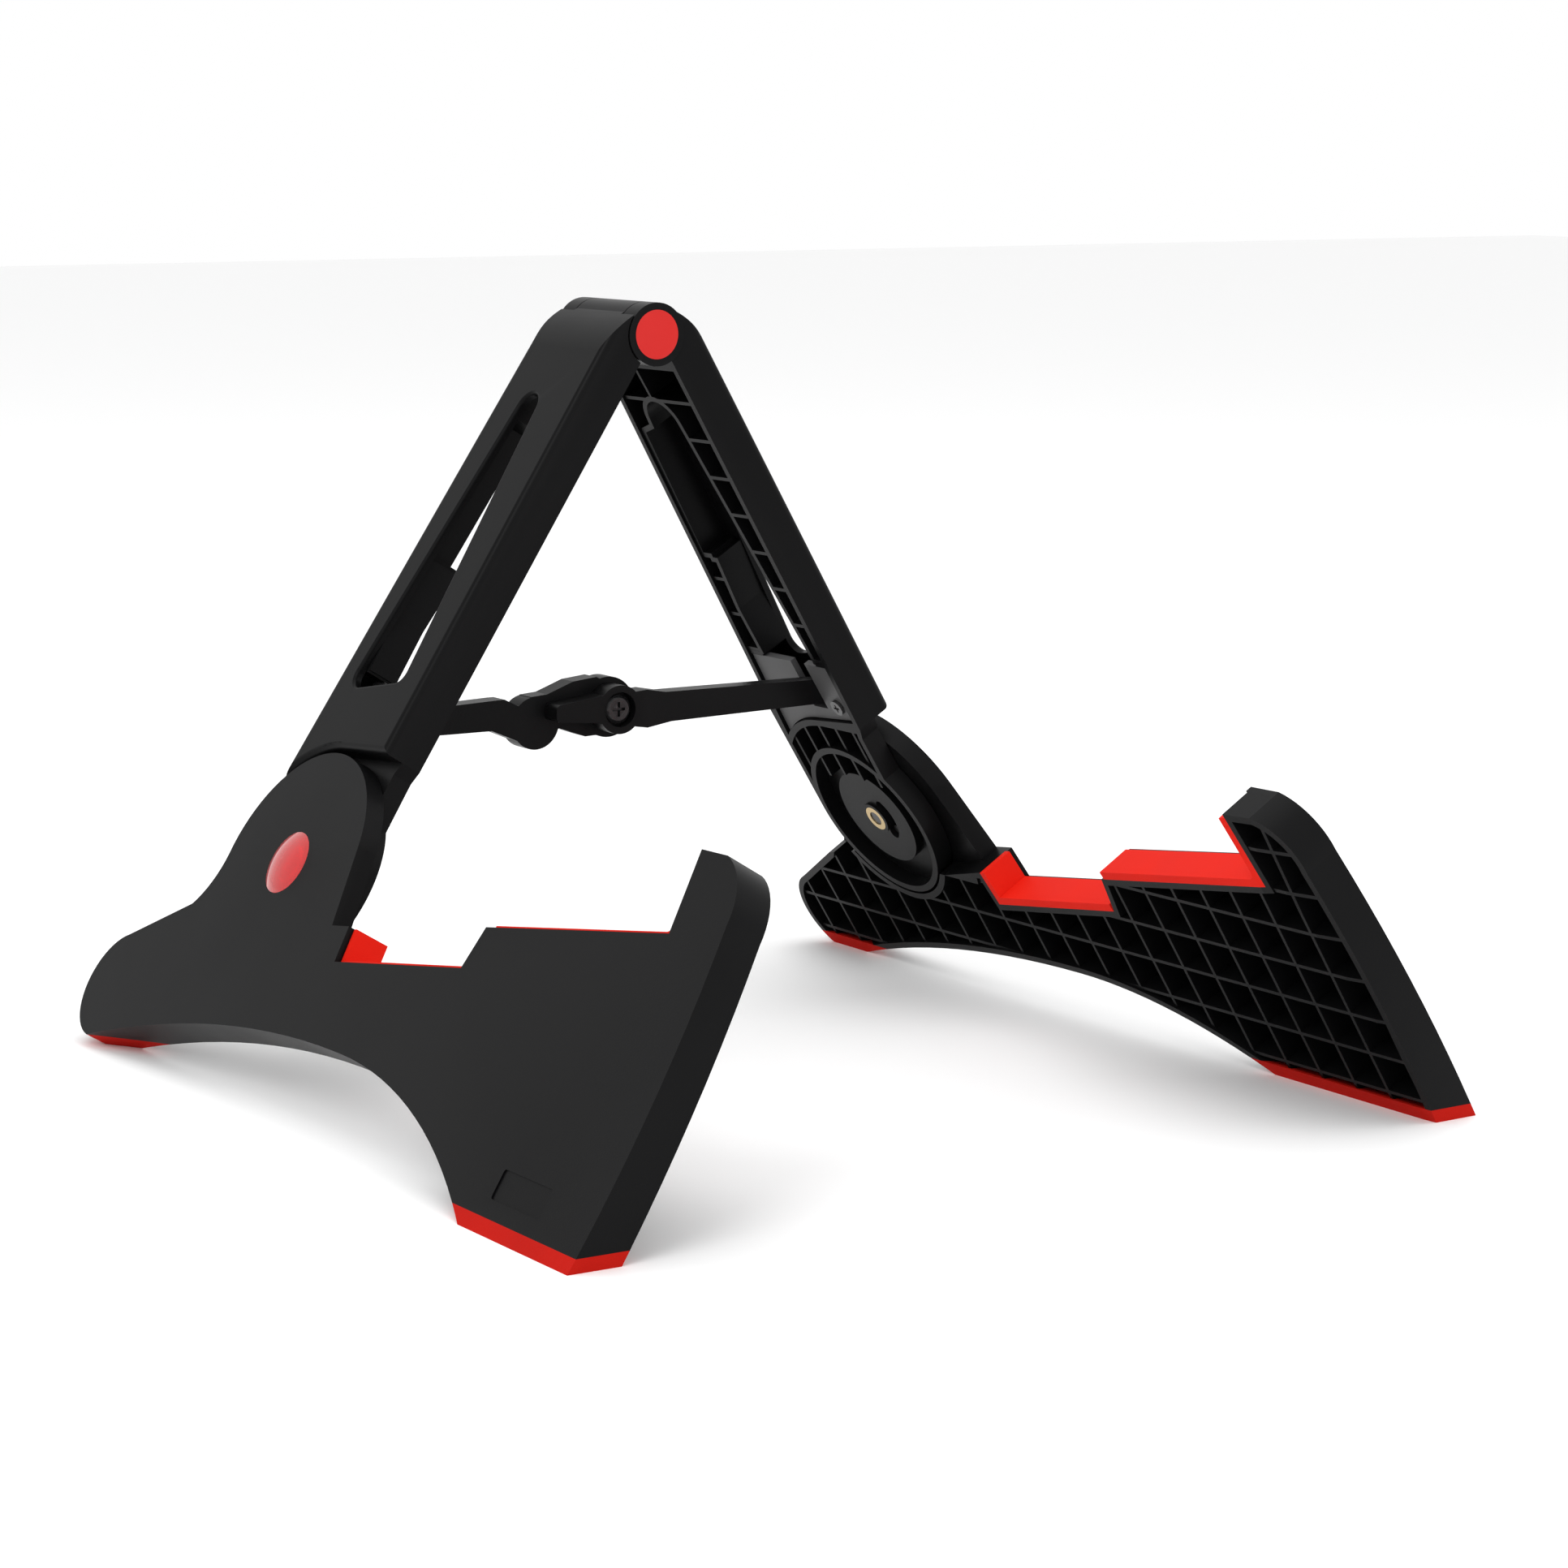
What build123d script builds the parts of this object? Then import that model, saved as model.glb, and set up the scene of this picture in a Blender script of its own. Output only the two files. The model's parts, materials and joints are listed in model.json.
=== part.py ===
from build123d import *
import math
import os

# Folding A-frame guitar stand. Millimetres, +Z up, -Y is the front, where the cradle arms point.
# The origin is on the floor, at the middle of the space that the stand covers.
# Each side is designed flat, as it stands when the frame is closed: (y, z) with the foot's hub at
# (0, 0), and w measured outwards from the side's inner face. It is then tilted about the top hinge.

# ---- driving dimensions ----
half_angle = 31.65          # tilt of each side from the vertical
side_gap = 0.3              # from the middle plane to the inner face of each side, closed
side_depth = 13.2           # thickness of a side
skin = 2.5                  # outer skin of the moulded shells
wall = 2.2                  # edge walls of the moulded shells
rib = 1.2                   # stiffening ribs
rib_setback = 0.7           # ribs stop this far below the open face
sole_drop = 65.1            # hub to floor, along the inner face
hinge_rise = 184.25         # hub to top hinge
foot_pad_thickness = 3.75

step_slope = 9.3            # the cradle rises towards the front
step_start = (-52.8, -20.6)  # rear corner of the lower step, on the pad's surface
lower_step = 62.5           # depth of the lower step
riser_lean = 4.1
riser_height = 12.0
upper_step = 80.8
lip_height = 22.0
rear_wall_height = 9.5
cradle_pad = 2.6            # thickness of the cradle pads
pad_rim = 1.3               # the outer rim covers the pads up to this far below their surface
rim_width = 2.0
pad_corner = 3.0
toe_lean = (192.0, 17.0, 1.75)   # where the toe's inner face starts to lean back, its angle
                                 # above level, and how far it leans at the brow
foot_grid = (14.65, 14.1)   # spacing of the ribs in the foot
grid_start = (-48.0, -30.3)

ear_radius = 35.3
disc_radius = 28.2          # the leg's disc inside the foot's ear
disc_depth = 6.5
disc_clearance = 0.9        # around the disc, in the foot's pocket
layer_gap = 0.4             # between the disc and the ear
core_radius = 17.15         # raised middle of the disc
core_face = 1.7
stop_ring = 7.6             # radius of the stop slot's middle line
stop_slot_width = 4.0
stop_peg = 1.6              # radius of the peg
fold_travel = 75.0          # swing of the foot
bolt_radius = 2.5
bolt_head = (4.6, 2.4)      # radius and height
insert_radius = 4.3
running_fit = 0.06
gem_radius = 9.7
gem_dome = 2.3

leg_foot_width = (28.2, -22.0)   # rear and front edges at the lower end
leg_top_width = (13.5, -28.5)    # rear and front edges at the hinge
leg_start = 39.0                 # where the outer skin ends above the ear
skin_end_gap = 1.6               # between the ear and the skin's end
barrel_radius = 9.3
hinge_pin_radius = 3.0
knuckle_gap = 0.4
front_ear = 7.0
rear_ear = 7.0
hinge_cap = (7.2, 2.4)      # radius and thickness
slot_top = (-2.4, 150.5, 4.8)    # centre and radius of the slot's upper end
slot_foot = (15.8, -11.0, 58.5)  # rear and front edges and height of its lower end
channel_margin = 3.0        # the channel behind the slot is wider by this
channel_step = 101.0        # above this height the channel reaches back to the leg's rear wall
channel_rear_wall = 4.5     # the rear wall there
channel_low_rear = [(10.5, 99.6), (14.0, 80.0), (14.2, 40.0)]  # its rear face below the step
channel_wall = 1.8
leg_round = 2.2
slot_round = 1.0
rib_pitch = 13.55           # cross ribs in the leg
first_rib = 64.0

brace_pivot = (6.2, 47.5)   # depth in the side, and height above the hub
brace_middle = 0.5          # y of the plane between the two links
link_width = 7.0
link_gap = 0.4              # between the two links
link_half = 4.2             # half the height of a link's bar
link_eye = 4.3
brace_pin_radius = 1.5
side_play = 0.3
bracket_plate = 2.0
bracket_face = 1.2
lug = 2.7

# ---- values worked out ----
tilt = math.radians(half_angle)
sole_line = hinge_rise + sole_drop
hinge_height = sole_line * math.cos(tilt) - side_gap * math.sin(tilt)
skin_inner = side_depth - skin
ear_inner = disc_depth + layer_gap
slope = math.radians(step_slope)


def on_step(forward, up):
    # a point given along and above the lower step
    y = step_start[0] - forward * math.cos(slope) + up * math.sin(slope)
    z = step_start[1] + forward * math.sin(slope) + up * math.cos(slope)
    return (y, z)


upper_level = riser_height
upper_start = lower_step + riser_lean
lip_face = upper_start + upper_step
lip_top = upper_level + lip_height

# outline of the foot in its own plane
arch_crest = (-78.0, -45.0)
arch_front_radius = 165.0
arch_rear_radius = 437.0
toe_foot = (-224.8, -76.0)
toe_middle = (-225.4, -30.0)
toe_brow = (-219.5, 20.0)
lip_crown = (-206.0, 37.2)
heel_foot = 64.0
heel_tip = (79.3, -51.5)
heel_brow = (69.0, -36.2)
neck_foot = (41.5, -20.8)
neck_middle = (37.0, -13.5)
neck_angle = math.radians(-5)
ear_front_angle = math.radians(161.6)
ledge = (-41.0, -12.8)


def polar(radius, angle):
    return (radius * math.cos(angle), radius * math.sin(angle))


def arch_z(y):
    radius = arch_front_radius if y < arch_crest[0] else arch_rear_radius
    run = y - arch_crest[0]
    return arch_crest[1] - radius + math.sqrt(radius ** 2 - run ** 2)


def arch_y_front(z):
    drop = arch_crest[1] - z
    return arch_crest[0] - math.sqrt(2 * arch_front_radius * drop - drop ** 2)


def arch_arc(y_from, y_to):
    middle = (y_from + y_to) / 2
    points = [(y, arch_z(y)) for y in (y_from, middle, y_to)]
    return ThreePointArc(*points)


def slab(face, w_from, w_to):
    # a flat shape of the side plane, given a thickness
    return Pos(side_gap + w_from, 0, 0) * extrude(Plane.YZ * face, w_to - w_from)


def disc_at(y, z, radius, w_from, w_to):
    return slab(Pos(y, z) * Circle(radius), w_from, w_to)


def across(face, y_front, y_rear):
    # a shape of the (x, z) plane, carried from the front to the rear
    plane = Plane(origin=(0, y_rear, 0), x_dir=(1, 0, 0), z_dir=(0, -1, 0))
    return extrude(plane * face, y_rear - y_front)


def rod(x, z, radius, y_front, y_rear):
    return across(Pos(x, z) * Circle(radius), y_front, y_rear)


def outline(*lines):
    edges = [edge for line in lines for edge in line.edges()]
    return make_face(Wire(edges))


def stood_up(part):
    # from the closed side's own frame to the open stand's frame, right-hand side
    turn = Pos(0, 0, hinge_rise) * Rot(0, -half_angle, 0) * Pos(0, 0, -hinge_rise)
    return Pos(0, shift_y, hinge_height - hinge_rise) * turn * part


def other_side(part):
    return mirror(part, about=Plane.YZ)


# ---- foot ----
def foot_face(drop):
    # the foot's outline; the cradle lies this far below the surface of its pads
    steps = [
        ledge,
        on_step(-drop, rear_wall_height),
        on_step(-drop, -drop),
        on_step(lower_step, -drop),
        on_step(upper_start, upper_level - drop),
        on_step(lip_face + drop, upper_level - drop),
        on_step(lip_face + drop, lip_top),
        lip_crown,
    ]
    ear_rear = polar(ear_radius, neck_angle)
    ear_front = polar(ear_radius, ear_front_angle)
    sole = (arch_y_front(toe_foot[1]), toe_foot[1])
    return outline(
        Polyline(*steps),
        ThreePointArc(lip_crown, (-215.2, 31.3), toe_brow),
        ThreePointArc(toe_brow, toe_middle, toe_foot),
        Line(toe_foot, sole),
        arch_arc(sole[0], arch_crest[0]),
        arch_arc(arch_crest[0], heel_foot),
        ThreePointArc((heel_foot, arch_z(heel_foot)), heel_tip, heel_brow),
        Line(heel_brow, neck_foot),
        ThreePointArc(neck_foot, neck_middle, ear_rear),
        ThreePointArc(ear_rear, (0, ear_radius), ear_front),
        Line(ear_front, ledge),
    )


# the space that the stand covers is centred on the origin
foot_span = foot_face(pad_rim).bounding_box()
shift_y = -(foot_span.min.X + foot_span.max.X) / 2


def above_pocket():
    # what the leg's disc and neck sweep through, inside the foot
    top = ear_radius + 30
    edge = [
        on_step(-cradle_pad - 0.1, rear_wall_height + 0.1),
        (-26.0, -17.0),
        (24.0, -17.0),
        neck_foot,
        (60.0, -20.8),
        (60.0, top),
        (-60.0, top),
        (-60.0, -8.0),
    ]
    return make_face(Polyline(*edge, close=True)) + Circle(disc_radius + disc_clearance)


def foot_ribs():
    lines = Sketch()
    first_y, first_z = grid_start
    for column in range(-12, 9):
        lines += Pos(first_y + column * foot_grid[0], -20) * Rectangle(rib, 160)
    for row in range(-2, 5):
        lines += Pos(-75, first_z + row * foot_grid[1]) * Rectangle(320, rib)
    return lines


def toe_ease():
    # the toes lean back from the middle plane, so that they pass each other as the stand folds
    start, angle, depth = toe_lean
    rise = math.radians(angle)
    brow_reach = -toe_brow[0] * math.cos(rise) + toe_brow[1] * math.sin(rise)
    per_length = depth / (brow_reach - start)
    beyond = 40
    plane = Plane(
        origin=(side_gap, 0, 0),
        x_dir=(0, -math.cos(rise), math.sin(rise)),
        z_dir=(0, math.sin(rise), math.cos(rise)),
    )
    far = start + beyond
    wedge = Polyline((start, 0), (far, per_length * beyond), (far, -1), (start, -1), close=True)
    return extrude(plane * make_face(wedge), 300, both=True)


def floor_box(thickness):
    return Pos(0, 0, thickness - 50) * Box(900, 900, 100)


def foot_block():
    # the foot's outer form, with the step for the pads and its outer rim
    inner = slab(foot_face(cradle_pad), 0, side_depth - rim_width)
    rim = slab(foot_face(pad_rim), side_depth - rim_width, side_depth)
    return inner + rim


def foot():
    body = foot_block()
    hollow = offset(foot_face(cradle_pad), -wall, kind=Kind.INTERSECTION)
    pocket = above_pocket()
    ear_zone = Circle(ear_radius + 12)
    low_band = Pos(0, -17 - 60) * Rectangle(120, 120)
    hollow_low = hollow - (ear_zone - low_band) - Circle(disc_radius + disc_clearance + wall)
    body -= slab(hollow_low, -1, skin_inner)
    body += slab(foot_ribs() & hollow_low, rib_setback, skin_inner)
    body -= slab(pocket, -1, ear_inner)
    body += disc_at(*polar(stop_ring, peg_angle()), stop_peg, disc_depth - 3.6, ear_inner)
    body -= disc_at(0, 0, bolt_radius + running_fit, 0, side_depth + 1)
    body -= disc_at(0, 0, gem_radius + running_fit, side_depth - 4.0, side_depth + 1)
    label = Pos(-190.8, -59.8) * RectangleRounded(24.0, 8.2, 0.8)
    body -= slab(label, side_depth - 0.4, side_depth + 1)
    body -= toe_ease()
    return stood_up(body) - floor_box(foot_pad_thickness)


def peg_angle():
    # the peg rests at the lower end of its slot, towards the front
    return math.radians(180 + 38)


def floor_pads():
    # front and rear pads: the foot's form, carried on down to the floor
    block = stood_up(foot_block() - toe_ease())
    layer = Pos(0, 0, foot_pad_thickness / 2) * Box(900, 900, foot_pad_thickness)
    pads = (block & layer).solids().sort_by(Axis.Y)
    return pads[0], pads[-1]


def lower_pad():
    corner = [
        on_step(0, rear_wall_height),
        on_step(0, 0),
        on_step(lower_step - 0.4, 0),
        on_step(lower_step - 0.4, -cradle_pad),
        on_step(-cradle_pad, -cradle_pad),
        on_step(-cradle_pad, rear_wall_height),
    ]
    face = make_face(Polyline(*corner, close=True))
    return stood_up(slab(face, 0, side_depth - rim_width))


def upper_pad():
    start = upper_start + 1.4
    top = lip_top - 1.2
    arc_from = on_step(lip_face - pad_corner, upper_level)
    arc_to = on_step(lip_face, upper_level + pad_corner)
    turn = pad_corner * (1 - math.sqrt(0.5))
    arc_middle = on_step(lip_face - turn, upper_level + turn)
    under = upper_level - cradle_pad
    rest = [
        arc_to,
        on_step(lip_face, top),
        on_step(lip_face + cradle_pad, top),
        on_step(lip_face + cradle_pad, under),
        on_step(start, under),
        on_step(start, upper_level),
        arc_from,
    ]
    face = outline(ThreePointArc(arc_from, arc_middle, arc_to), Polyline(*rest))
    return stood_up(slab(face, 0, side_depth - rim_width) - toe_ease())


def hub_gem():
    # a shallow dome over the bolt's head, turned about the hub's axis
    seat = side_depth - 1.4
    hollow_top = side_depth - 0.6
    hollow = bolt_head[0] + 1.0
    rise = gem_dome
    ball = (gem_radius ** 2 + rise ** 2) / (2 * rise)
    half_way = gem_radius / 2
    half_rise = rise - ball + math.sqrt(ball ** 2 - half_way ** 2)
    crown = (side_depth + rise, 0)
    shoulder = (side_depth, gem_radius)
    profile = outline(
        Line((hollow_top, 0), crown),
        ThreePointArc(crown, (side_depth + half_rise, half_way), shoulder),
        Polyline(shoulder, (seat, gem_radius), (seat, hollow), (hollow_top, hollow), (hollow_top, 0)),
    )
    return stood_up(Pos(side_gap, 0, 0) * revolve(profile, Axis.X))


# ---- hub ----
def hub_bolt():
    head_from = side_depth - 4.0
    head = disc_at(0, 0, bolt_head[0], head_from, head_from + bolt_head[1])
    socket = slab(RegularPolygon(2.3, 6), head_from + 1.0, head_from + bolt_head[1] + 1)
    shank = disc_at(0, 0, bolt_radius, 1.2, head_from)
    return stood_up(head - socket + shank)


def hub_insert():
    body = disc_at(0, 0, insert_radius, 0.9, disc_depth - 0.4)
    return stood_up(body - disc_at(0, 0, bolt_radius, 0, disc_depth))


def hub_washer():
    ring = disc_at(0, 0, 22.0, disc_depth, disc_depth + layer_gap - 0.05)
    return stood_up(ring - disc_at(0, 0, 12.5, disc_depth - 1, side_depth))


# ---- leg ----
def leg_edge(height):
    # rear and front edges of the leg at a height above the hub
    part = (height - leg_start) / (hinge_rise - leg_start)
    rear = leg_foot_width[0] + (leg_top_width[0] - leg_foot_width[0]) * part
    front = leg_foot_width[1] + (leg_top_width[1] - leg_foot_width[1]) * part
    return rear, front


leg_rear, leg_front = leg_edge(hinge_rise)
leg_roof = hinge_rise + barrel_radius + 1


def leg_face():
    end_radius = ear_radius + skin_end_gap
    rear, front = leg_edge(leg_start)
    rear_angle = math.acos(rear / end_radius)
    flat_from = polar(end_radius, math.radians(87))
    rear_low = polar(end_radius, rear_angle)
    return outline(
        ThreePointArc(rear_low, polar(end_radius, math.radians(65)), flat_from),
        Line(flat_from, (front, leg_start)),
        Line((front, leg_start), (leg_front, hinge_rise)),
        Line((leg_front, hinge_rise), (leg_front, leg_roof)),
        Line((leg_front, leg_roof), (leg_rear, leg_roof)),
        Line((leg_rear, leg_roof), (leg_rear, hinge_rise)),
        Line((leg_rear, hinge_rise), rear_low),
    )


def neck_face():
    # the inner layer of the leg, from the shell down to the disc
    rear, front = leg_edge(leg_start)
    points = [
        (rear, leg_start + 3),
        (rear, 0),
        (0, 0),
        (front + 1.5, 12),
        (front + 1.5, leg_start - 4),
        (front, leg_start),
        (front, leg_start + 3),
    ]
    return make_face(Polyline(*points, close=True)) + Circle(disc_radius)


def side_section(margin):
    # the leg's section across the hinge: flat, then curling over onto the barrel
    outer = side_gap + side_depth - margin
    curl = hinge_rise - 13.0
    radius = barrel_radius - margin
    inner_x = side_gap if margin == 0 else -20
    landing = polar(radius, math.radians(12))
    middle = (outer - 1.3, hinge_rise - 4.8)
    shape = outline(
        Line((inner_x, 0), (outer, 0)),
        Line((outer, 0), (outer, curl)),
        ThreePointArc((outer, curl), middle, (landing[0], hinge_rise + landing[1])),
        Line((landing[0], hinge_rise + landing[1]), (inner_x, hinge_rise + landing[1])),
        Line((inner_x, hinge_rise + landing[1]), (inner_x, 0)),
    )
    return shape + Pos(0, hinge_rise) * Circle(radius)


def slot_face(margin):
    top_y, top_z, radius = slot_top
    rear, front, foot_z = slot_foot
    upper = Pos(top_y, top_z) * Circle(radius + margin)
    corner = 4.0
    low_rear = Pos(rear - corner, foot_z + corner - 2.5) * Circle(corner + margin)
    low_front = Pos(front + corner, foot_z + corner + 1.5) * Circle(corner + margin)
    return make_hull((upper + low_rear + low_front).edges())


bay_top = slot_foot[2] + 4.0


def bay_face():
    # the space behind the brace bracket, at the lower end of the leg's shell
    inside = offset(leg_face(), -wall, kind=Kind.INTERSECTION)
    return inside & (Pos(0, bay_top - 0.8 - 30) * Rectangle(90, 60))


def screw_spots():
    return [(-14.4, 46.0), (19.2, 46.0)]


def channel_face():
    # the channel behind the slot, where the folded brace lies
    rear_low, rear_high = leg_edge(channel_step)[0], leg_edge(slot_top[1])[0]
    pocket = make_face(Polyline(
        (slot_top[0], channel_step),
        (rear_low - channel_rear_wall, channel_step),
        (rear_high - channel_rear_wall, slot_top[1] - channel_rear_wall),
        (slot_top[0], slot_top[1]),
        close=True,
    ))
    low_rear = make_face(Polyline(*channel_low_rear, (60, 40), (60, 99.6), close=True))
    return slot_face(channel_margin) - low_rear + pocket


def leg_block():
    # the leg's outer form, rounded along its outer edges and round the slot
    prism = slab(leg_face(), 0, side_depth)
    outer_face = prism.faces().sort_by(Axis.X)[-1]
    prism = fillet(outer_face.edges(), leg_round)
    block = prism & across(side_section(0), leg_front - 1, leg_rear + 40)
    block -= slab(slot_face(0), -1, side_depth + 5)
    outer_face = block.faces().filter_by(Axis.X).sort_by(Axis.X)[-1]
    return fillet(outer_face.inner_wires()[0].edges(), min(slot_round, skin / 2))


def leg_core(cavity_face):
    # the channel's walls and the ribs round it
    channel = channel_face()
    walls = offset(channel, channel_wall, kind=Kind.INTERSECTION) - channel
    above_bay = Pos(0, bay_top + 75) * Rectangle(90, 150)
    ribs = Sketch()
    height = first_rib
    while height < hinge_rise - barrel_radius - 6:
        ribs += Pos(0, height) * Rectangle(90, rib)
        height += rib_pitch
    ribs += Pos(slot_top[0], hinge_rise - 20) * Rectangle(rib, 40)
    inside = cavity_face - offset(channel, channel_wall / 2, kind=Kind.INTERSECTION)
    core = slab((ribs & inside) + (walls & above_bay & cavity_face), rib_setback, skin_inner)
    core += slab((Pos(0, bay_top) * Rectangle(90, 1.6)) & inside, rib_setback, skin_inner)
    for y, z in screw_spots():
        core += disc_at(y, z, 3.2, bracket_face + bracket_plate, skin_inner)
    return core & across(side_section(0), leg_front, leg_rear + 40)


def leg_shell(knuckles, gaps):
    # knuckles and gaps are the spans of the hinge that this leg fills and leaves
    cavity_face = offset(leg_face(), -wall, kind=Kind.INTERSECTION)
    cavity = slab(cavity_face, -1, skin_inner)
    cavity -= Pos(0, 0, hinge_rise + 40 - barrel_radius - 4) * Box(200, 200, 80)
    shell = leg_block() - cavity + leg_core(cavity_face)
    for y, z in screw_spots():
        shell -= disc_at(y, z, 1.25, 0, skin_inner - 1)
    shell += leg_disc()
    for y_from, y_to in knuckles:
        shell += rod(0, hinge_rise, barrel_radius, y_from, y_to)
    for y_from, y_to in gaps:
        shell -= rod(0, hinge_rise, barrel_radius + knuckle_gap, y_from, y_to)
    return shell


def leg_disc():
    plate = slab(neck_face(), 0, disc_depth)
    hollow = offset(neck_face(), -wall, kind=Kind.INTERSECTION)
    plate -= slab(hollow & (Pos(0, leg_start - 2 - 60) * Rectangle(120, 120)), -1, disc_depth - 1.6)
    ring = Circle(disc_radius) - Circle(disc_radius - wall)
    plate += slab(ring, 0, disc_depth)
    neck_ribs = Sketch()
    for step in range(-2, 3):
        neck_ribs += Pos(4 + step * 9.5, 30) * Rectangle(rib, 30)
    neck_ribs = (neck_ribs & hollow) - Circle(core_radius)
    plate += slab(neck_ribs & (Pos(0, 8 + 15) * Rectangle(80, 30)), rib_setback, disc_depth)
    plate += disc_at(0, 0, core_radius, core_face, disc_depth)
    plate += disc_at(0, 0, insert_radius + 1.2, 0.9, disc_depth)
    plate -= disc_at(0, 0, insert_radius, -1, disc_depth - 0.4)
    plate -= disc_at(0, 0, bolt_radius + running_fit, -1, disc_depth + 1)
    plate -= slab(stop_slot(), -1, disc_depth + 1)
    plate -= slab(bay_face(), -1, disc_depth + 1)
    return plate


def stop_slot():
    # an arc that the foot's peg runs in, a little longer than its swing
    spare = 6
    start = math.degrees(peg_angle()) - fold_travel - spare
    sweep = fold_travel + 2 * spare
    line = CenterArc((0, 0), stop_ring, start, sweep)
    half = stop_slot_width / 2
    band = Circle(stop_ring + half) - Circle(stop_ring - half)
    far = stop_ring * 3
    corners = [(0, 0)] + [polar(far, math.radians(start + sweep * k / 4)) for k in range(5)]
    wedge = make_face(Polyline(*corners, close=True))
    ends = Sketch()
    for end in (line @ 0, line @ 1):
        ends += Pos(end.X, end.Y) * Circle(half)
    return (band & wedge) + ends


ear_spans = [(leg_front, leg_front + front_ear), (leg_rear - rear_ear, leg_rear)]
tongue_span = [(leg_front + front_ear + knuckle_gap, leg_rear - rear_ear - knuckle_gap)]


def widened(spans, by):
    return [(y_from - by, y_to + by) for y_from, y_to in spans]


def right_leg():
    shell = leg_shell(ear_spans, widened(tongue_span, knuckle_gap))
    shell -= rod(0, hinge_rise, hinge_pin_radius, leg_front - 1, leg_rear + 1)
    for y_from, y_to in cap_spans():
        shell -= rod(0, hinge_rise, hinge_cap[0], y_from, y_to)
    return stood_up(shell)


def left_leg():
    shell = leg_shell(tongue_span, [(leg_front - 30, leg_front + front_ear + knuckle_gap),
                                    (leg_rear - rear_ear - knuckle_gap, leg_rear + 30)])
    shell -= rod(0, hinge_rise, hinge_pin_radius + running_fit, leg_front - 1, leg_rear + 1)
    return other_side(stood_up(shell))


def cap_spans():
    thickness = hinge_cap[1]
    return [(leg_front, leg_front + thickness), (leg_rear - thickness, leg_rear)]


def hinge_pin():
    pin = rod(0, hinge_rise, hinge_pin_radius, leg_front + hinge_cap[1], leg_rear - hinge_cap[1])
    return stood_up(pin)


def hinge_caps():
    caps = []
    for y_from, y_to in cap_spans():
        button = rod(0, hinge_rise, hinge_cap[0], y_from, y_to)
        caps.append(stood_up(button))
    return caps


# ---- brace ----
brace_drop = hinge_rise - brace_pivot[1]
pivot_out = side_gap + brace_pivot[0]
link_reach = pivot_out * math.cos(tilt) + brace_drop * math.sin(tilt)
brace_height = hinge_height - brace_drop * math.cos(tilt) + pivot_out * math.sin(tilt)
front_layer = (brace_middle - link_gap / 2 - link_width, brace_middle - link_gap / 2)
rear_layer = (brace_middle + link_gap / 2, brace_middle + link_gap / 2 + link_width)


def placed_link(face, layer):
    return Pos(0, shift_y, brace_height) * across(face, *layer)


def right_link():
    boss = 7.4
    points = [(link_reach, link_eye * 0.9), (16, link_half), (9.5, 5.4), (5.4, 5.1),
              (5.0, -5.5), (9.5, -6.2), (18, -4.9), (link_reach, -3.6)]
    face = make_face(Polyline(*points, close=True)) + Circle(boss)
    face += Pos(link_reach, 0) * Circle(link_eye)
    tail = [(0, 5.6), (-8, 4.4), (-22, 2.8), (-22, -2.2), (-8, -3.4), (0, -5.6)]
    face += make_face(Polyline(*tail, close=True))
    face = fillet(face.vertices().filter_by(lambda v: -23 < v.X < -21), 1.6)
    bar = placed_link(face, front_layer)
    top = front_layer[0] + shift_y
    recess = rod(0, brace_height, 5.3, top - 1, top + 3.0)
    bore = rod(0, brace_height, 2.05, top, top + link_width + 1)
    eye = rod(link_reach, brace_height, brace_pin_radius + running_fit, top - 1, top + link_width + 1)
    return bar - recess - bore - eye


def left_link():
    points = [(-link_reach, 3.6), (-38, 4.9), (-35.5, 4.9), (-31, 2.6), (-27, 2.6), (-26.6, 5.0),
              (-21, 5.4), (-12, 8.6), (-4, 9.4), (3, 6), (3, -8), (-8, -8.4), (-17, -5.2),
              (-40, -4.2), (-link_reach, -3.9)]
    face = make_face(Polyline(*points, close=True)) + Circle(9.2)
    face += Pos(-25, -3.0) * Circle(8.0)
    shoulder = make_face(Polyline((-40, -4.2), (-31.5, -7.8), (-27, -3), (-40, -3), close=True))
    face += shoulder
    face += Pos(-link_reach, 0) * Circle(link_eye)
    bar = placed_link(face, rear_layer)
    back = rear_layer[1] + shift_y
    pocket = across(Pos(0, brace_height) * RegularPolygon(4.1, 6), back - 3.4, back + 1)
    bore = rod(0, brace_height, 2.05, back - link_width - 1, back)
    eye = rod(-link_reach, brace_height, brace_pin_radius + running_fit, back - link_width - 1, back + 1)
    return bar - pocket - bore - eye


def knuckle_screw():
    top = front_layer[0] + shift_y
    head = rod(0, brace_height, 4.3, top + 1.0, top + 3.0)
    shank = rod(0, brace_height, 2.0, top + 3.0, top + link_width)
    slot = Pos(0, top + 1.3, brace_height) * (Box(4.4, 1.4, 0.9) + Box(0.9, 1.4, 4.4))
    dome = Pos(0, top + 6.4, brace_height) * Sphere(6.4)
    return (head & dome) + shank - slot


def knuckle_nut():
    back = rear_layer[1] + shift_y
    nut = across(Pos(0, brace_height) * RegularPolygon(4.0, 6), back - 3.4, back - 0.2)
    return nut - rod(0, brace_height, 2.0, back - 4, back)


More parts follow.
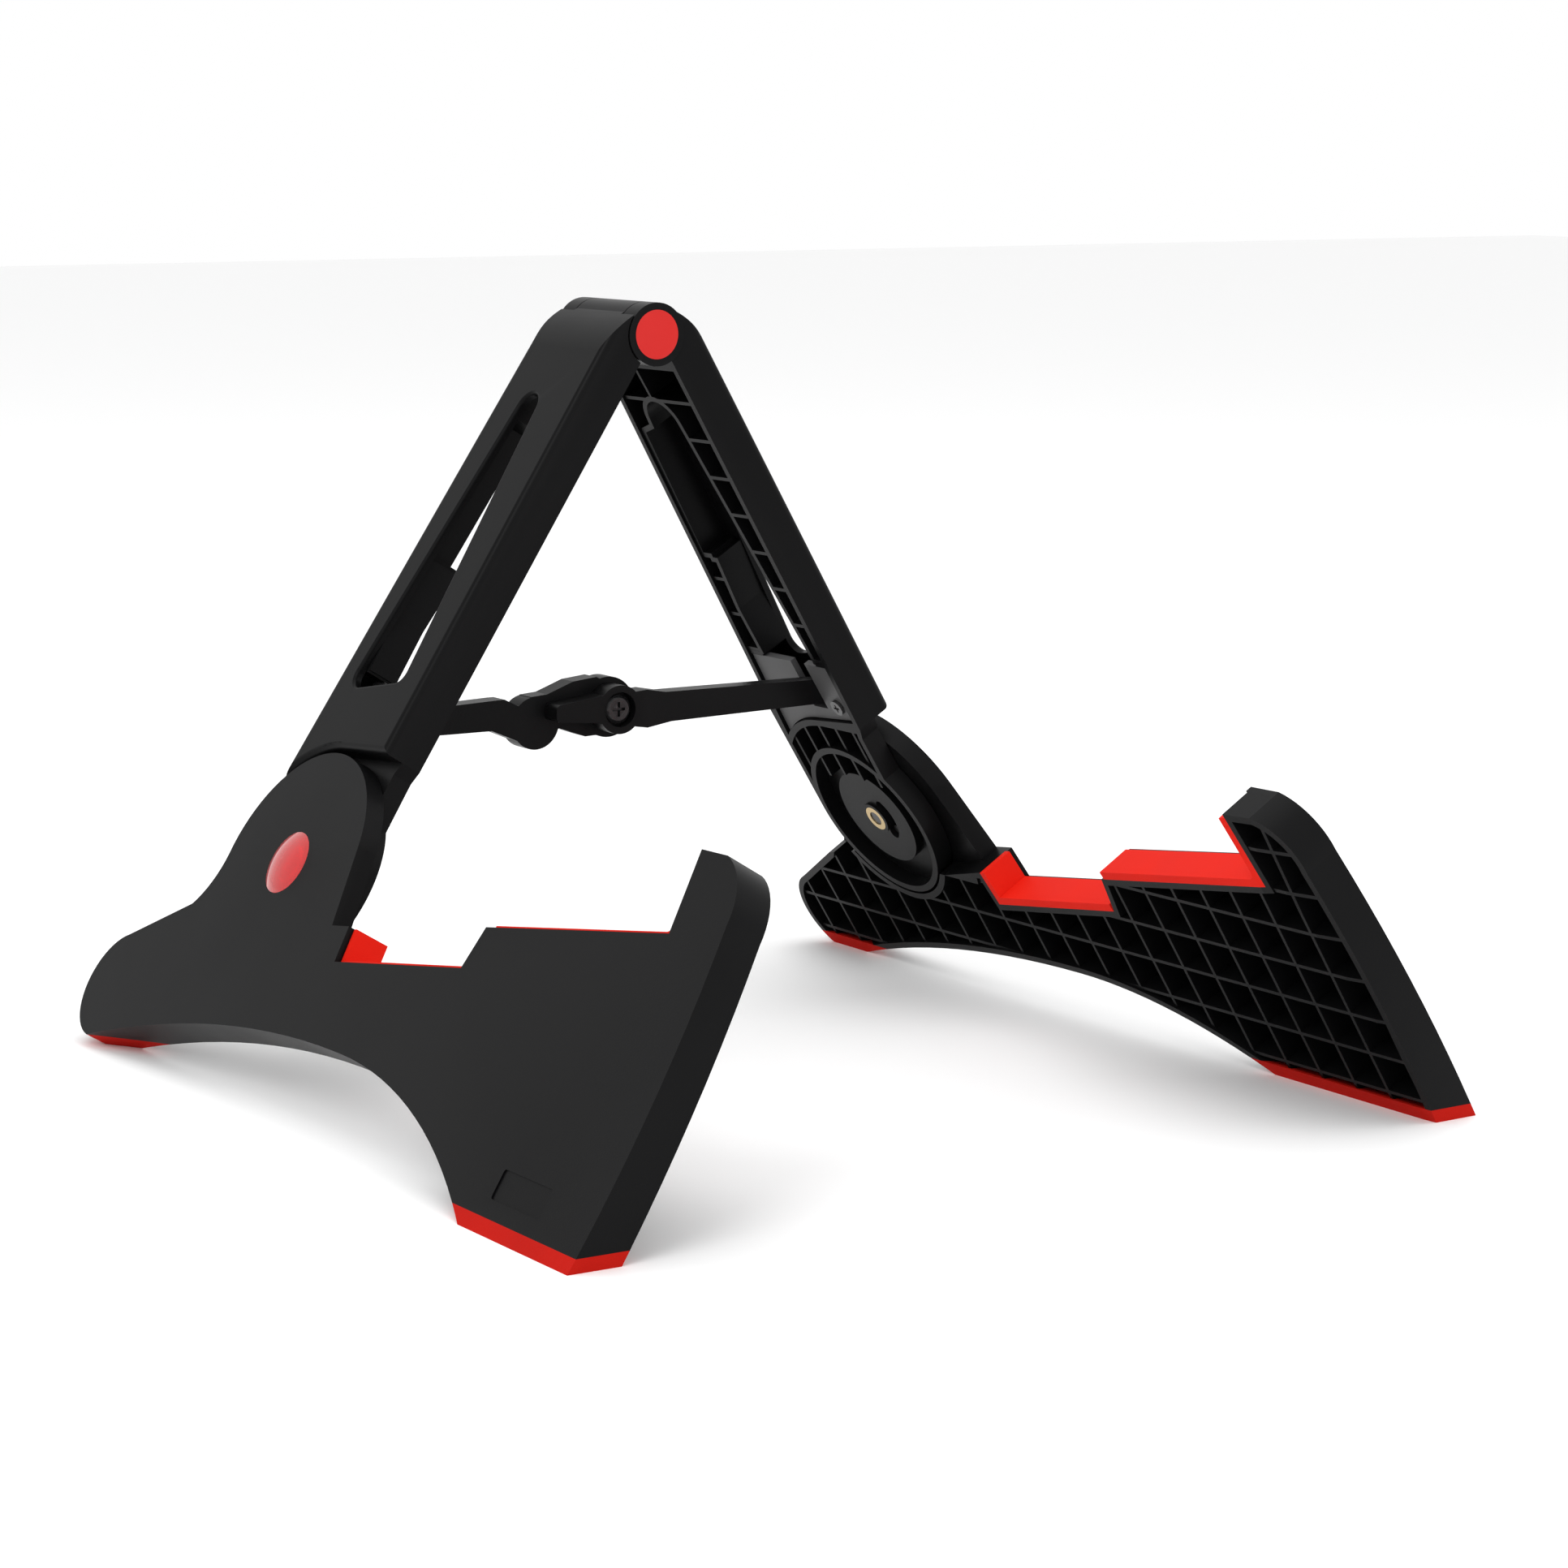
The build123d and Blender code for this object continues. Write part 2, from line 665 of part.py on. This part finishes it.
def brace_bracket(layer):
    y_front, y_rear = layer[0] - side_play, layer[1] + side_play
    depth, height = brace_pivot
    face = offset(bay_face(), -0.3, kind=Kind.INTERSECTION)
    window_low = height - 3.4
    window = Pos((y_front + y_rear) / 2, window_low + 20) * Rectangle(y_rear - y_front, 40)
    plate = slab(face - window, bracket_face, bracket_face + bracket_plate)
    for y_from, y_to in [(y_front - lug, y_front), (y_rear, y_rear + lug)]:
        ear = rod(side_gap + depth, height, 4.0, y_from, y_to)
        web = Pos(side_gap + (bracket_face + depth) / 2, (y_from + y_to) / 2, height)
        ear += web * Box(depth - bracket_face, y_to - y_from, 8.0)
        plate += ear
    plate -= rod(side_gap + depth, height, brace_pin_radius, y_front - lug - 1, y_rear + lug + 1)
    for y, z in screw_spots():
        plate -= disc_at(y, z, 1.6, 0, 6)
    return plate


def brace_pin(layer):
    y_front, y_rear = layer[0] - side_play - lug, layer[1] + side_play + lug
    return rod(side_gap + brace_pivot[0], brace_pivot[1], brace_pin_radius, y_front, y_rear)


def bracket_screws():
    pair = Part()
    for y, z in screw_spots():
        head = disc_at(y, z, 2.6, bracket_face - 1.1, bracket_face)
        shank = disc_at(y, z, 1.25, bracket_face, skin_inner - 1.5)
        cross = slab(Pos(y, z) * (Rectangle(2.8, 0.6) + Rectangle(0.6, 2.8)), -1, bracket_face - 0.5)
        pair += head + shank - cross
    return pair


# ---- write one file for each piece ----
def pieces():
    front_pad, rear_pad = floor_pads()
    both = {
        "foot": foot(),
        "lower_cradle_pad": lower_pad(),
        "upper_cradle_pad": upper_pad(),
        "front_foot_pad": front_pad,
        "rear_foot_pad": rear_pad,
        "hub_cap": hub_gem(),
        "hub_bolt": hub_bolt(),
        "hub_insert": hub_insert(),
        "hub_washer": hub_washer(),
        "bracket_screws": stood_up(bracket_screws()),
    }
    made = {}
    for name, part in both.items():
        made["right_" + name] = part
        made["left_" + name] = other_side(part)
    made["right_leg"] = right_leg()
    made["left_leg"] = left_leg()
    made["right_brace_bracket"] = stood_up(brace_bracket(front_layer))
    made["left_brace_bracket"] = other_side(stood_up(brace_bracket(rear_layer)))
    made["right_brace_pin"] = stood_up(brace_pin(front_layer))
    made["left_brace_pin"] = other_side(stood_up(brace_pin(rear_layer)))
    made["right_brace_link"] = right_link()
    made["left_brace_link"] = left_link()
    made["knuckle_screw"] = knuckle_screw()
    made["knuckle_nut"] = knuckle_nut()
    made["hinge_pin"] = hinge_pin()
    made["front_hinge_cap"], made["rear_hinge_cap"] = hinge_caps()
    return made


os.makedirs("parts", exist_ok=True)
for name, part in pieces().items():
    export_step(part, "parts/" + name + ".step")
print("hinge height", hinge_height, "brace height", brace_height, "link reach", link_reach, "shift", shift_y)
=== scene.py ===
import json
import math

import bpy
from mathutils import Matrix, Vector

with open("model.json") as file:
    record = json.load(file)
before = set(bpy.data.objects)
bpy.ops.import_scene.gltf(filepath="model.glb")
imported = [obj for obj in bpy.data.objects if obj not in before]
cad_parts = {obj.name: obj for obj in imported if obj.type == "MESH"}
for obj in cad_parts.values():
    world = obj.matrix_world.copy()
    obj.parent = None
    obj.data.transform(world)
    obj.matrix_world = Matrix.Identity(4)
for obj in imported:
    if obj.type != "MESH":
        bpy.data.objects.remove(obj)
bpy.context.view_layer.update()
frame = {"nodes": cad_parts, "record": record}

RECORD = frame["record"]

# the colour Mix node's sockets
MIX_FIRST = 6
MIX_SECOND = 7
MIX_RESULT = 2

# moulded grain
FINE_SCALE = 2600.0
RUBBER_SCALE = 1800.0
SLOW_SCALE = 45.0
FINE_DETAIL = 3.0
SLOW_DETAIL = 2.0
RELIEF_DEPTH = 0.0002

# painted edge tone: the turn of the surface where the painted edge tone starts and where it is full. On
# the dark finishes it is a painted highlight along sharp edges; on steel and brass the default edge tone
# is darker than the metal
EDGE_MASK_START = 0.52
EDGE_MASK_FULL = 0.62
PAINTED_EDGE_AMOUNT = 0.3
PAINTED_EDGE_TONE = (0.2, 0.2, 0.2)

# studio
FLOOR_SIZE = 12
FLOOR_TONE = (0.93, 0.93, 0.93, 1)
FLOOR_ROUGHNESS = 0.7
WORLD_STRENGTH = 1.0
LAMPS = [
    # name, place, what it points at, size, power
    ("key", (-1.5, -0.9, 1.7), (0, 0, 0.1), (1.0, 1.0), 14),
    ("fill", (1.6, -1.3, 1.3), (0, 0, 0.1), (1.4, 1.4), 3),
    ("top", (0.1, 0.2, 2.1), (0, 0, 0), (1.8, 1.8), 12),
]

# camera
SENSOR_WIDTH = 36
FOCAL_LENGTH = 93.81
CAMERA_PLACE = (-0.6238, -0.9744, 0.2759)
CAMERA_TURN = (80.6675, -0.085, -33.2343)


# ---- shared effects ----
def group(name, inputs, outputs):
    tree = bpy.data.node_groups.new(name, "ShaderNodeTree")
    for label, kind, value in inputs:
        socket = tree.interface.new_socket(label, in_out="INPUT", socket_type=kind)
        if value is not None:
            socket.default_value = value
    for label, kind in outputs:
        tree.interface.new_socket(label, in_out="OUTPUT", socket_type=kind)
    start = tree.nodes.new("NodeGroupInput")
    end = tree.nodes.new("NodeGroupOutput")
    return tree, start, end


def add(tree, kind, **settings):
    node = tree.nodes.new(kind)
    for key, value in settings.items():
        setattr(node, key, value)
    return node


def moulded_grain():
    # fine spark-eroded texture of a moulded shell: a height, and a slow variation
    tree, start, end = group(
        "moulded grain",
        [("Grain Size", "NodeSocketFloat", FINE_SCALE), ("Variation Size", "NodeSocketFloat", SLOW_SCALE)],
        [("Height", "NodeSocketFloat"), ("Variation", "NodeSocketFloat")],
    )
    place = add(tree, "ShaderNodeTexCoord")
    fine = add(tree, "ShaderNodeTexNoise")
    fine.inputs["Detail"].default_value = FINE_DETAIL
    slow = add(tree, "ShaderNodeTexNoise")
    slow.inputs["Detail"].default_value = SLOW_DETAIL
    link = tree.links.new
    link(place.outputs["Object"], fine.inputs["Vector"])
    link(place.outputs["Object"], slow.inputs["Vector"])
    link(start.outputs["Grain Size"], fine.inputs["Scale"])
    link(start.outputs["Variation Size"], slow.inputs["Scale"])
    link(fine.outputs["Fac"], end.inputs["Height"])
    link(slow.outputs["Fac"], end.inputs["Variation"])
    return tree


def sharp_edge_mask():
    # a mask where the surface turns sharply, used for the painted edge tone (a painted highlight on the
    # dark finishes)
    tree, start, end = group(
        "sharp edge mask",
        [("Amount", "NodeSocketFloat", PAINTED_EDGE_AMOUNT)],
        [("Mask", "NodeSocketFloat")],
    )
    shape = add(tree, "ShaderNodeNewGeometry")
    ramp = add(tree, "ShaderNodeMapRange")
    ramp.inputs["From Min"].default_value = EDGE_MASK_START
    ramp.inputs["From Max"].default_value = EDGE_MASK_FULL
    scale = add(tree, "ShaderNodeMath", operation="MULTIPLY")
    link = tree.links.new
    link(shape.outputs["Pointiness"], ramp.inputs["Value"])
    link(ramp.outputs["Result"], scale.inputs[0])
    link(start.outputs["Amount"], scale.inputs[1])
    link(scale.outputs["Value"], end.inputs["Mask"])
    return tree


GRAIN = moulded_grain()
SHARP_EDGE_MASK = sharp_edge_mask()


def surface(name, dark, light, rough, bump, grain=FINE_SCALE, variation=SLOW_SCALE, metal=0.0,
            painted_edge_amount=PAINTED_EDGE_AMOUNT, painted_edge_tone=PAINTED_EDGE_TONE, **fixed):
    # one finish: colour between two tones, roughness that varies, a fine grain, and a painted edge tone (a
    # painted highlight on the sharp edges of the dark finishes)
    material = bpy.data.materials.new(name)
    material.use_nodes = True
    tree = material.node_tree
    shader = tree.nodes["Principled BSDF"]
    shader.inputs["Metallic"].default_value = metal
    for label, value in fixed.items():
        shader.inputs[label.replace("_", " ")].default_value = value
    texture = add(tree, "ShaderNodeGroup", node_tree=GRAIN)
    texture.inputs["Grain Size"].default_value = grain
    texture.inputs["Variation Size"].default_value = variation
    edge_mask_node = add(tree, "ShaderNodeGroup", node_tree=SHARP_EDGE_MASK)
    edge_mask_node.inputs["Amount"].default_value = painted_edge_amount
    tone = add(tree, "ShaderNodeMix", data_type="RGBA")
    tone.inputs[MIX_FIRST].default_value = (*dark, 1)
    tone.inputs[MIX_SECOND].default_value = (*light, 1)
    # painted highlight: sharp edges are mixed towards a lighter tone on the black, grey, red, washer and
    # blackened steel finishes; steel and brass get a darker edge tone
    edge = add(tree, "ShaderNodeMix", data_type="RGBA")
    edge.inputs[MIX_SECOND].default_value = (*painted_edge_tone, 1)
    gloss = add(tree, "ShaderNodeMapRange")
    gloss.inputs["To Min"].default_value = rough[0]
    gloss.inputs["To Max"].default_value = rough[1]
    relief = add(tree, "ShaderNodeBump")
    relief.inputs["Strength"].default_value = bump
    relief.inputs["Distance"].default_value = RELIEF_DEPTH
    link = tree.links.new
    link(texture.outputs["Variation"], tone.inputs["Factor"])
    link(tone.outputs[MIX_RESULT], edge.inputs[MIX_FIRST])
    link(edge_mask_node.outputs["Mask"], edge.inputs["Factor"])
    link(edge.outputs[MIX_RESULT], shader.inputs["Base Color"])
    link(texture.outputs["Variation"], gloss.inputs["Value"])
    link(gloss.outputs["Result"], shader.inputs["Roughness"])
    link(texture.outputs["Height"], relief.inputs["Height"])
    link(relief.outputs["Normal"], shader.inputs["Normal"])
    return material


# painted highlight: the edge tones of the black, red, grey, washer and blackened steel finishes are
# lighter than their base colour, standing in for the highlights that rounded edges would catch; the CAD
# edges are square
black = surface("black moulded shell", (0.0028, 0.0028, 0.003), (0.0042, 0.0042, 0.0045), (0.3, 0.4), 0.14,
                painted_edge_amount=0.2, painted_edge_tone=(0.014, 0.014, 0.0145), Specular_IOR_Level=0.07)
grey = surface("grey bracket", (0.02, 0.02, 0.021), (0.03, 0.03, 0.0315), (0.45, 0.6), 0.12,
               Specular_IOR_Level=0.2)
rubber = surface("red cradle rubber", (0.62, 0.010, 0.004), (0.74, 0.016, 0.007), (0.55, 0.7), 0.25,
                 grain=RUBBER_SCALE, painted_edge_amount=0.1, painted_edge_tone=(0.8, 0.03, 0.015), Specular_IOR_Level=0.05)
sole = surface("dark red sole rubber", (0.38, 0.006, 0.003), (0.48, 0.010, 0.005), (0.6, 0.75), 0.25,
               grain=RUBBER_SCALE, painted_edge_amount=0.1, painted_edge_tone=(0.55, 0.02, 0.012), Specular_IOR_Level=0.05)
cap_red = surface("red cap", (0.56, 0.008, 0.006), (0.64, 0.012, 0.009), (0.4, 0.5), 0.08, painted_edge_amount=0.1,
                  Specular_IOR_Level=0.1)
steel = surface("turned steel", (0.5, 0.5, 0.51), (0.6, 0.6, 0.61), (0.25, 0.4), 0.1, metal=1.0)
dark_steel = surface("blackened steel", (0.012, 0.012, 0.013), (0.025, 0.025, 0.026), (0.2, 0.35), 0.1,
                     metal=0.6)
brass = surface("turned brass", (0.62, 0.42, 0.16), (0.72, 0.52, 0.22), (0.2, 0.35), 0.1, metal=1.0)
washer = surface("nylon washer", (0.02, 0.02, 0.021), (0.03, 0.03, 0.031), (0.4, 0.5), 0.05)
gem_red = surface("clear red gem", (0.80, 0.004, 0.006), (0.92, 0.008, 0.010), (0.03, 0.06), 0.0, painted_edge_amount=0.0,
                  Transmission_Weight=0.55, IOR=1.5, Coat_Weight=0.6, Coat_Roughness=0.02)

FINISHES = {
    "black_plastic": black,
    "grey_plastic": grey,
    "red_rubber": rubber,
    "foot_rubber": sole,
    "red_clear": gem_red,
    "red_cap": cap_red,
    "steel": steel,
    "black_steel": dark_steel,
    "brass": brass,
    "washer": washer,
}

for part in RECORD["subparts"]:
    shown = frame["nodes"][part["node"]]
    shown.data.materials.clear()
    shown.data.materials.append(FINISHES[part["material_slot"]])


# ---- floor, light and camera ----
def floor():
    bpy.ops.object.select_all(action="DESELECT")
    bpy.ops.mesh.primitive_plane_add(size=FLOOR_SIZE, location=(0, 0, 0))
    ground = bpy.context.object
    ground.name = "floor"
    material = bpy.data.materials.new("pale floor")
    material.use_nodes = True
    shader = material.node_tree.nodes["Principled BSDF"]
    shader.inputs["Base Color"].default_value = FLOOR_TONE
    shader.inputs["Roughness"].default_value = FLOOR_ROUGHNESS
    ground.data.materials.append(material)


def softbox(name, place, target, size, power):
    data = bpy.data.lights.new(name, "AREA")
    data.shape = "RECTANGLE"
    data.size, data.size_y = size
    data.energy = power
    lamp = bpy.data.objects.new(name, data)
    bpy.context.collection.objects.link(lamp)
    lamp.location = place
    lamp.rotation_euler = (Vector(target) - Vector(place)).to_track_quat("-Z", "Y").to_euler()


floor()
for lamp_row in LAMPS:
    softbox(*lamp_row)

world = bpy.data.worlds.new("studio")
world.use_nodes = True
world.node_tree.nodes["Background"].inputs["Color"].default_value = (1, 1, 1, 1)
world.node_tree.nodes["Background"].inputs["Strength"].default_value = WORLD_STRENGTH
bpy.context.scene.world = world

lens = bpy.data.cameras.new("camera")
lens.sensor_width = SENSOR_WIDTH
lens.lens = FOCAL_LENGTH
camera = bpy.data.objects.new("camera", lens)
bpy.context.collection.objects.link(camera)
camera.location = CAMERA_PLACE
camera.rotation_euler = [math.radians(angle) for angle in CAMERA_TURN]
bpy.context.scene.camera = camera
bpy.context.scene.view_settings.view_transform = "Standard"
